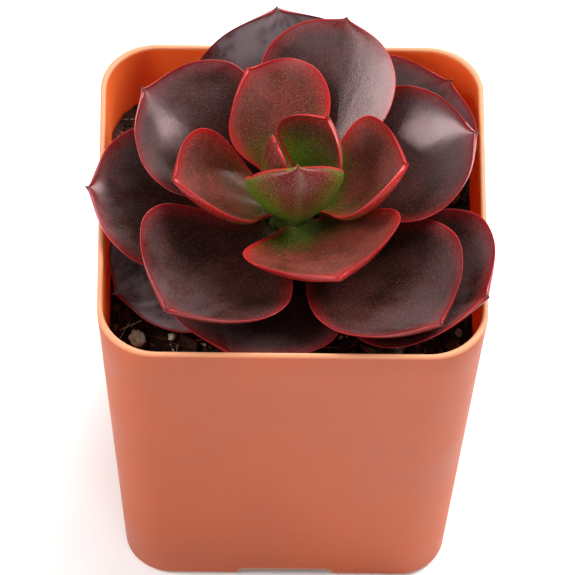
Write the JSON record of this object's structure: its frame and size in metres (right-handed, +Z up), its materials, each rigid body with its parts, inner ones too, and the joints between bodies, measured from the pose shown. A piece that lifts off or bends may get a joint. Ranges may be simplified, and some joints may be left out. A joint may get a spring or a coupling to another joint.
{
  "type": "potted succulent",
  "caption": "Small rosette succulent with broad, cupped dark red leaves, growing in potting mix in a tapered square plastic nursery pot with round corners.",
  "frame": {"origin": "centre of the pot's footprint, on the surface that the pot's foot stands on", "axes": "+Z up the pot; the flat sides of the pot face +X, -X, +Y and -Y, and -Y is the front"},
  "size_m": [0.0568, 0.0538, 0.0744],
  "materials": {
    "pot": "satin",
    "mix": "matte",
    "stem": "satin",
    "inner_leaf": "satin",
    "leaf": "satin",
    "perlite": "matte",
    "bark": "matte"
  },
  "bodies": {
    "root": {"pot": "pot", "potting_mix": "mix", "stem": "stem", "leaf_bud_tip": "inner_leaf", "leaf_bud_left": "inner_leaf", "leaf_bud_back": "inner_leaf", "leaf_bud_front": "inner_leaf", "leaf_inner_back": "leaf", "leaf_inner_right": "leaf", "leaf_inner_left": "leaf", "leaf_upper_back": "leaf", "leaf_inner_front": "leaf", "leaf_upper_left": "leaf", "leaf_upper_right": "leaf", "leaf_front_left": "leaf", "leaf_far_back": "leaf", "leaf_front_right": "leaf", "leaf_outer_left": "leaf", "leaf_outer_right_back": "leaf", "leaf_low_front": "leaf", "leaf_low_back_left": "leaf", "leaf_outer_right": "leaf", "leaf_low_left": "leaf", "leaf_low_back": "leaf", "leaf_low_front_right": "leaf", "perlite_grain_front_left": "perlite", "perlite_grain_front": "perlite", "perlite_grain_back_left": "perlite", "bark_chip_front_right": "bark", "bark_chip_front": "bark"}
  },
  "joints": []
}
